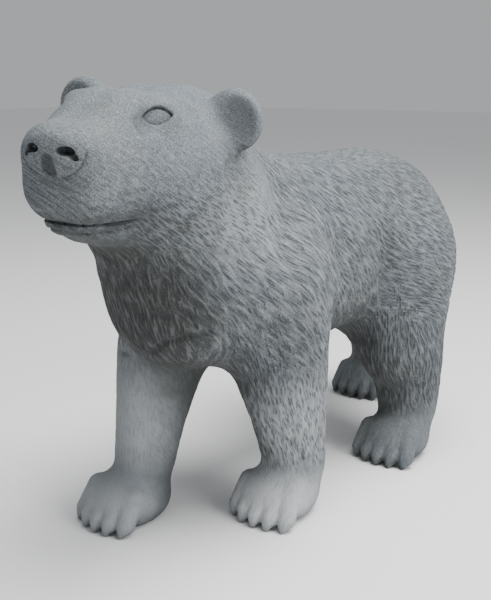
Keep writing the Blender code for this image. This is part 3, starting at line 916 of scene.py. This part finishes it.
class Board:
    """A material's nodes."""

    def __init__(self, name):
        self.material = bpy.data.materials.new(name)
        self.material.use_nodes = True
        self.tree = self.material.node_tree
        self.shader = self.tree.nodes["Principled BSDF"]

    def node(self, kind, settings=None, *values, output=0, **named):
        """Adds a node, sets its settings, then its sockets by order or by name."""
        made = self.tree.nodes.new(kind)
        for name, value in (settings or {}).items():
            setattr(made, name, value)
        for place, value in [*enumerate(values), *named.items()]:
            self.feed(made.inputs[place], value)
        return Shade(self, made.outputs[output])

    def feed(self, socket, value):
        if isinstance(value, Shade):
            self.tree.links.new(value.socket, socket)
        else:
            socket.default_value = value

    def kept(self, name):
        """A number that the skin keeps."""
        return self.node("ShaderNodeAttribute", {"attribute_name": name}, output="Fac")

    def noise(self, place, kind):
        scale, detail, roughness = kind
        sockets = {"Scale": scale, "Detail": detail, "Roughness": roughness}
        return self.node("ShaderNodeTexNoise", None, Vector=place, **sockets)

    def mix(self, factor, a, b):
        """Colour a where factor is 0 and colour b where it is 1."""
        made = self.tree.nodes.new("ShaderNodeMix")
        made.data_type = "RGBA"
        for socket, value in ((made.inputs[0], factor), (made.inputs[6], a), (made.inputs[7], b)):
            self.feed(socket, value)
        return Shade(self, made.outputs[2])


def cuts(board, across, along, size, shift):
    """Narrow chisel cuts, one in each stretched cell: 0 in the middle of a deep one, rising to the ridges."""
    wide, long = size
    where = board.node("ShaderNodeCombineXYZ", None, across * (1.0 / wide) + shift, along * (1.0 / long), 0.0)
    settings = {"feature": "F1", "voronoi_dimensions": "2D"}
    cells = board.node("ShaderNodeTexVoronoi", settings, Vector=where, Scale=1.0, Randomness=1.0)
    chance = board.node("ShaderNodeSeparateColor", None, cells.other("Color"), output="Red")
    return cells + chance * CUT_CHANCE


def combed(board, place):
    """How far each point is from the nearest cut, each region with the lie that the skin's weights choose."""
    noise = board.node("ShaderNodeTexNoise", None, Vector=place, Scale=CUT_DRIFT_SCALE, Detail=1.0)
    drift = noise.other("Color")
    drift = board.node("ShaderNodeVectorMath", {"operation": "SUBTRACT"}, drift, (0.5, 0.5, 0.5))
    drift = board.node("ShaderNodeVectorMath", {"operation": "SCALE"}, drift, Scale=CUT_DRIFT)
    wandering = board.node("ShaderNodeVectorMath", {"operation": "ADD"}, place, drift)
    x = board.node("ShaderNodeSeparateXYZ", None, wandering, output="X")
    y = x.other("Y")
    z = x.other("Z")
    back, up = y - COMB_CENTRE[0], z - COMB_CENTRE[1]
    ring = (back * back + up * up).math("SQRT") + x * SIDE_SHIFT
    round_ring = up.math("ARCTAN2", back) * COMB_REACH

    def chosen(name, pattern, others):
        return others + (pattern - others) * board.kept(name).between(*LIE_EDGE)

    leg_shift, front_shift, top_shift, face_shift = CELL_SHIFTS
    coat = cuts(board, ring, round_ring, COAT_CUT, 0.0)
    back, down = LEG_LIE[1:]
    across = y * -down + z * back + x * SIDE_SHIFT
    coat = chosen("upright", cuts(board, across, y * back + z * down, COAT_CUT, leg_shift), coat)
    coat = chosen("facing", cuts(board, x, z, COAT_CUT, front_shift), coat)
    coat = chosen("lying", cuts(board, x, y, COAT_CUT, top_shift), coat)
    back, down = FACE_LIE[1:]
    across = y * -down + z * back + x * SIDE_SHIFT
    return chosen("face", cuts(board, across, y * back + z * down, FACE_CUT, face_shift), coat)


def granite():
    """Bluish-grey granite: grain, chisel cuts with painted shade in them and painted highlight on their
    ridges, paler patches, and painted shade in darker patches, in hollows and where the sky is hidden.
    """
    board = Board("chiselled_granite")
    place = board.node("ShaderNodeTexCoord", output="Object")
    coat, pale_patched, painted_shade, upright = [board.kept(name) for name in ("coat", "pale_patched", "painted_shade", "upright")]
    grain = board.node("ShaderNodeTexVoronoi", {"feature": "F1"}, Vector=place, Scale=1.0 / GRAIN)
    pale = board.node("ShaderNodeSeparateColor", None, grain.other("Color"), output="Red")
    dark = pale.other("Green")
    fine = board.noise(place, SURFACE)
    away = combed(board, place)
    # The fine cuts' bump, with painted shade in them and painted highlight on the ridges between them
    cut = away.between(*CUT_RANGE) * coat
    ridge = away.between(*RIDGE_RANGE) * coat
    grainy = (1.0 - LEG_ON_GRAIN * upright) * (1.0 - PALE_PATCH_ON_GRAIN * pale_patched)
    pale_share = PALE_SHARE - SHADE_ON_GRAIN * painted_shade

    colour = STONE
    for share, over in (
        (board.noise(place, CLOUDS).between(*CLOUD_EDGE), GREEN_STONE),
        (board.noise(place, PATCHES).between(*PATCH_EDGE) * PATCH_SHARE, WORN_STONE),
        # Paler patches
        (pale_patched, PALE_PATCH_STONE),
        # Painted shade where the body hides the sky and in the darker patches
        (painted_shade, PAINTED_SHADE_COLOUR),
        # Painted highlight on the ridges between cuts, less under painted shade
        (ridge * (RIDGE_SHARE - SHADE_ON_RIDGE * painted_shade), RIDGE_HIGHLIGHT),
        (pale.between(*PALE_CHANCE) * pale_share * grainy, PALE_GRAIN),
        (dark.between(*DARK_CHANCE) * DARK_SHARE * grainy, DARK_GRAIN),
        # Painted shade in the stroke recesses and in the fine cuts
        (board.kept("recess").between(*RECESS_RANGE) * RECESS_SHADE_SHARE, SHADE_IN_HOLLOWS),
        (cut * CUT_SHADE_SHARE, SHADE_IN_HOLLOWS),
        # Painted shade in the muzzle's hollows, under the eyes and in the folds
        (board.kept("hollow_shade") * HOLLOW_SHADE_SHARE, SHADE_IN_HOLLOWS),
    ):
        colour = board.mix(share, colour, over)
    board.feed(board.shader.inputs["Base Color"], colour)

    board.feed(board.shader.inputs["Roughness"], ROUGHNESS + ROUGHER * fine)
    board.shader.inputs["Specular IOR Level"].default_value = SHEEN_LEVEL

    relief = fine * SURFACE_RELIEF + pale * GRAIN_RELIEF - cut * CUT_RELIEF
    bump = board.node("ShaderNodeBump", None, Strength=1.0, Distance=1.0, Height=relief)
    board.feed(board.shader.inputs["Normal"], bump)
    return board.material


def granite_bear():
    mesh = lies_and_tones(carved_skin())
    mesh.name = "granite_bear"
    mesh.materials.clear()
    mesh.materials.append(granite())
    mesh.shade_smooth()
    piece = bpy.data.objects.new("granite_bear", mesh)
    bpy.context.scene.collection.objects.link(piece)
    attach(piece, "root")
    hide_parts("bear")


def pale_floor():
    bpy.ops.mesh.primitive_plane_add(size=FLOOR_SIZE)
    floor = bpy.context.object
    floor.name = "floor"
    board = Board("pale_floor")
    board.shader.inputs["Base Color"].default_value = FLOOR_COLOUR
    board.shader.inputs["Roughness"].default_value = FLOOR_ROUGHNESS
    floor.data.materials.append(board.material)


def soft_light(name, at, size, power):
    data = bpy.data.lights.new(name, "AREA")
    data.shape = "DISK"
    data.size = size
    data.energy = power
    light = bpy.data.objects.new(name, data)
    light.location = at
    light.rotation_euler = (Vector(LIT_POINT) - Vector(at)).to_track_quat("-Z", "Y").to_euler()
    bpy.context.scene.collection.objects.link(light)


def light_the_studio():
    world = bpy.data.worlds.new("studio")
    world.use_nodes = True
    world.node_tree.nodes["Background"].inputs["Color"].default_value = SKY_COLOUR
    world.node_tree.nodes["Background"].inputs["Strength"].default_value = SKY_STRENGTH
    bpy.context.scene.world = world
    soft_light("overhead", *OVERHEAD)
    soft_light("side", *SIDE)


def camera_of_the_photo():
    data = bpy.data.cameras.new("camera")
    data.lens = LENS
    camera = bpy.data.objects.new("camera", data)
    camera.location = Vector(CAMERA_AT) - Vector(ORIGIN_AT)
    camera.rotation_euler = Euler((np.radians(90.0 - CAMERA_DIP), 0.0, np.radians(CAMERA_HEADING)))
    bpy.context.scene.collection.objects.link(camera)
    bpy.context.scene.camera = camera


granite_bear()
pale_floor()
light_the_studio()
camera_of_the_photo()
